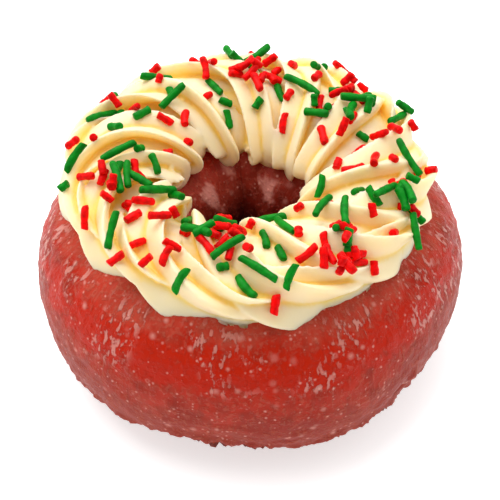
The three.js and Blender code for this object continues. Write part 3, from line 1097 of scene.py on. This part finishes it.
class DOUGHNUT_OT_add_dough(bpy.types.Operator):
    """Adds the glazed dough ring"""

    bl_idname = "doughnut.add_dough"
    bl_label = "Dough Ring"

    def execute(self, context):
        dough = context.scene.doughnut_dough
        bm = bmesh.new()
        add_dough_ring(bm, dough)
        surveys = shape_dough(bm, dough)
        piece = finish_mesh(bm, "glazed_dough", dough_material(dough))
        masks = [finish_masks(at) for at in surveys]
        for name in masks[0]:
            store(piece.data, name, [mask[name] for mask in masks])
        flow = piece.data.attributes.new("flow", "FLOAT_VECTOR", "POINT")
        flow.data.foreach_set("vector", np.ravel([at.flow for at in surveys]))
        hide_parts("dough")
        return {"FINISHED"}


class DOUGHNUT_OT_add_icing(bpy.types.Operator):
    """Adds the piped ring of icing"""

    bl_idname = "doughnut.add_icing"
    bl_label = "Piped Icing"

    def execute(self, context):
        dough = context.scene.doughnut_dough
        icing = context.scene.doughnut_icing
        loops = draw_loops(make_random(scatter_seed), icing)
        bm = bmesh.new()
        for number in range(icing.loop_count):
            add_loop(bm, number, loops, dough, icing)
        bmesh.ops.remove_doubles(bm, verts=bm.verts, dist=0.001 * mm)
        bmesh.ops.holes_fill(bm, edges=[edge for edge in bm.edges if edge.is_boundary])
        add_core(bm, dough, icing)
        bmesh.ops.recalc_face_normals(bm, faces=bm.faces)
        mesh = join_loops(bm, "piped_icing", icing)
        rest_icing(mesh, dough)
        mesh = thin_out(mesh, "piped_icing")
        bm = bmesh.new()
        bm.from_mesh(mesh)
        bmesh.ops.recalc_face_normals(bm, faces=bm.faces)
        hollow = hollow_share(bm)
        piece = finish_mesh(bm, "piped_icing", icing_material(icing))
        store(piece.data, "hollow", hollow)
        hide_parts("icing")
        return {"FINISHED"}


class DOUGHNUT_OT_add_sprinkles(bpy.types.Operator):
    """Scatters the red and green sprinkles over the icing"""

    bl_idname = "doughnut.add_sprinkles"
    bl_label = "Sprinkles"

    def execute(self, context):
        icing = context.scene.doughnut_icing
        sprinkles = context.scene.doughnut_sprinkles
        ring = bpy.data.objects.get("piped_icing")
        if ring is None:
            raise RuntimeError("Add the icing before the sprinkles that lie on it")
        random = make_random(scatter_seed)
        draw_loops(random, icing)
        surface = BVHTree.FromObject(ring, context.evaluated_depsgraph_get())
        lying = []
        for place in scatter_places(random, sprinkles.scattered):
            laid = lay_down(place, random, surface, lying, icing)
            if laid is not None:
                lying.append(laid)
        kinds = (
            ("red_sprinkles", False, sprinkles.red_color, pale_red),
            ("green_sprinkles", True, sprinkles.green_color, pale_green),
        )
        template = sprinkle_template()
        shape_random = make_random(shape_seed)
        for name, green, color, pale in kinds:
            bm = bmesh.new()
            for laid in lying:
                if laid["green"] == green:
                    add_sprinkle(bm, template, laid, shape_random)
            bmesh.ops.recalc_face_normals(bm, faces=bm.faces)
            piece = finish_mesh(bm, name, sprinkle_material(name, color, pale))
            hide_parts("icing")
        bpy.data.meshes.remove(template)
        return {"FINISHED"}


def add_aimed(name, data, place, aim):
    """Adds a lamp or camera at a place, turned towards its aim."""
    added = add_object(name, data)
    added.location = place
    added.rotation_euler = (aim - place).to_track_quat("-Z", "Y").to_euler()
    return added


def add_softbox(aim):
    """A square softbox high over the doughnut, turned towards it."""
    data = bpy.data.lights.new("overhead_softbox", "AREA")
    data.energy = overhead_power
    data.size = overhead_size
    away = Vector(overhead_direction).normalized() * overhead_distance
    add_aimed("overhead_softbox", data, aim + away, aim)


def studio_world():
    """White ceiling and dimmer walls, with a darker gap where the photographer stands."""
    world = bpy.data.worlds.new("studio")
    world.use_nodes = True
    nodes = Nodes(world.node_tree)
    sight = nodes.node("ShaderNodeTexCoord").outputs["Generated"]

    def fade(direction, low, high, start, end):
        """Brightness that changes from start to end as one looks more along a direction."""
        toward = nodes.node("ShaderNodeVectorMath", operation="DOT_PRODUCT")
        nodes.feed(sight, toward.inputs[0])
        toward.inputs[1].default_value = Vector(direction).normalized()
        return nodes.change(toward.outputs["Value"], low, high, start, end)

    room = fade((0, 0, 1), 0, wall_height, wall_light, ceiling_light)
    gap = fade(gap_direction, gap_start, gap_end, 1, gap_floor)
    nodes.feed(nodes.times(room, gap), nodes.tree.nodes["Background"].inputs["Color"])
    return world


class DOUGHNUT_OT_add_stage(bpy.types.Operator):
    """Sets the pale floor, the soft light and the camera"""

    bl_idname = "doughnut.add_stage"
    bl_label = "Floor, Light and Camera"

    def execute(self, context):
        stage = context.scene.doughnut_stage
        scene = context.scene
        bm = bmesh.new()
        bmesh.ops.create_circle(bm, cap_ends=True, segments=64, radius=floor_radius)
        bmesh.ops.translate(bm, verts=bm.verts, vec=(0, 0, -floor_drop))
        floor = add_object("floor", as_mesh(bm, "floor"))
        shader = Shader("pale_floor")
        shader.color(opaque(stage.floor_color))
        shader.set(Roughness=floor_roughness, Emission_Color=(1, 1, 1, 1),
                   Emission_Strength=floor_glow)
        floor.data.materials.append(shader.material)

        scene.world = studio_world()
        aim = Vector((0, 0, stage.aim_height))
        add_softbox(aim)

        data = bpy.data.cameras.new("camera")
        data.lens = stage.lens
        data.sensor_width = 36
        data.clip_start = 0.01
        away = Vector((0, -math.cos(stage.elevation), math.sin(stage.elevation)))
        scene.camera = add_aimed("camera", data, aim + away * stage.distance, aim)
        scene.view_settings.view_transform = "Standard"
        return {"FINISHED"}


class DOUGHNUT_PT_panel(bpy.types.Panel):
    """Lists the pieces of the doughnut in the sidebar"""

    bl_idname = "DOUGHNUT_PT_panel"
    bl_label = "Decorated Doughnut"
    bl_space_type = "VIEW_3D"
    bl_region_type = "UI"
    bl_category = "Doughnut"

    def draw(self, context):
        for operator, name, settings in steps:
            self.layout.operator(operator.bl_idname)
            for key in settings.__annotations__:
                self.layout.prop(getattr(context.scene, name), key)


# Operators in the order in which they run, each with its settings
steps = (
    (DOUGHNUT_OT_add_dough, "doughnut_dough", DoughSettings),
    (DOUGHNUT_OT_add_icing, "doughnut_icing", IcingSettings),
    (DOUGHNUT_OT_add_sprinkles, "doughnut_sprinkles", SprinkleSettings),
    (DOUGHNUT_OT_add_stage, "doughnut_stage", StageSettings),
)


def register():
    for operator, name, settings in steps:
        bpy.utils.register_class(settings)
        bpy.utils.register_class(operator)
        setattr(bpy.types.Scene, name, bpy.props.PointerProperty(type=settings))
    bpy.utils.register_class(DOUGHNUT_PT_panel)


def unregister():
    bpy.utils.unregister_class(DOUGHNUT_PT_panel)
    for operator, name, settings in reversed(steps):
        delattr(bpy.types.Scene, name)
        bpy.utils.unregister_class(operator)
        bpy.utils.unregister_class(settings)


def main():
    register()
    bpy.ops.doughnut.add_dough()
    bpy.ops.doughnut.add_icing()
    bpy.ops.doughnut.add_sprinkles()
    bpy.ops.doughnut.add_stage()


if __name__ == "__main__":
    main()
